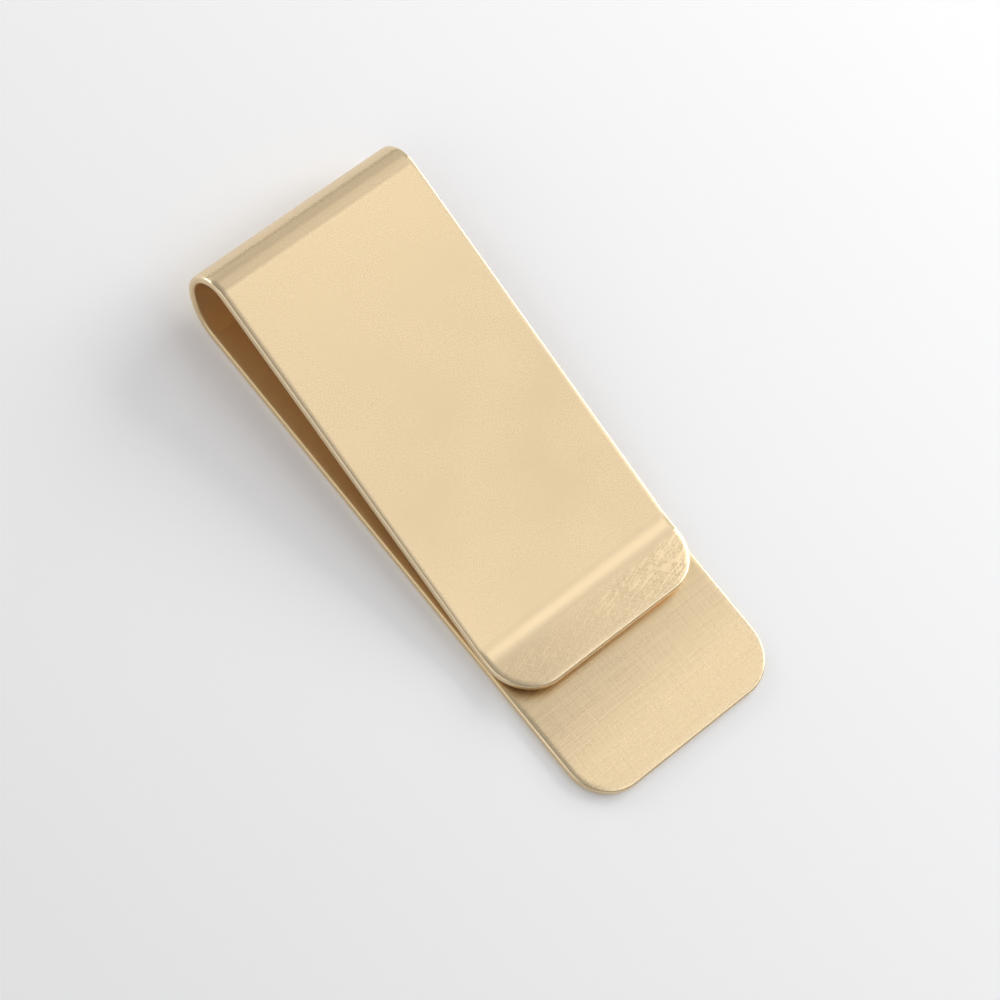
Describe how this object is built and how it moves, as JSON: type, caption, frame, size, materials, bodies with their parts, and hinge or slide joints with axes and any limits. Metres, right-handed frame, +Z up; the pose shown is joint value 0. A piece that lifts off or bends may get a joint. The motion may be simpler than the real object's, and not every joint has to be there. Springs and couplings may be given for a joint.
{
  "type": "money clip",
  "caption": "Brass strip money clip: a long flat back leaf, a teardrop return bend and a shorter springy front leaf that grips folded notes and ends in an upturned finger lip.",
  "frame": {"origin": "on the underside of the back leaf, under the middle of the closed clip's length and width", "axes": "+X along the strip from the return bend to the tips, +Y across the strip, +Z up from the back leaf towards the front leaf"},
  "size_m": [0.06, 0.024, 0.0072],
  "materials": {
    "satin_brass": "pale brass, fine satin, softly tumbled edges",
    "brushed_brass": "pale brass, fine cross-brushed lines across the strip",
    "scuffed_brass": "pale brass, satin with light handling scratches in all directions"
  },
  "bodies": {
    "back": {"back_leaf": "brushed_brass", "bend_heel": "satin_brass"},
    "crown": {"bend_crown": "satin_brass"},
    "shoulder": {"leaf_shoulder": "satin_brass"},
    "span": {"leaf_span": "satin_brass"},
    "nose": {"leaf_nose": "satin_brass", "pressure_ridge": "satin_brass", "finger_lip": "scuffed_brass"}
  },
  "joints": [
    {"name": "clip_opening", "type": "hinge", "parent": "back", "child": "crown", "pos_m": [-0.02959, 0, 0.00255], "axis": [0, -1, 0], "range_deg": [0, 3.5], "stiffness_Nm_per_rad": 3},
    {"name": "crown_flex", "type": "hinge", "parent": "crown", "child": "shoulder", "pos_m": [-0.02647, 0, 0.00717], "axis": [0, -1, 0], "range_deg": [0, 3.9], "stiffness_Nm_per_rad": 2.5},
    {"name": "leaf_upper_flex", "type": "hinge", "parent": "shoulder", "child": "span", "pos_m": [-0.01359, 0, 0.00536], "axis": [0, -1, 0], "range_deg": [0, 3.75], "stiffness_Nm_per_rad": 1.78},
    {"name": "leaf_lower_flex", "type": "hinge", "parent": "span", "child": "nose", "pos_m": [-0.0007, 0, 0.00355], "axis": [0, -1, 0], "range_deg": [0, 2.25], "stiffness_Nm_per_rad": 1.54}
  ],
  "couplings": [
    {"joint": "crown_flex", "follows": "clip_opening", "ratio": 1.1},
    {"joint": "leaf_upper_flex", "follows": "clip_opening", "ratio": 1.06},
    {"joint": "leaf_lower_flex", "follows": "clip_opening", "ratio": 0.63}
  ]
}
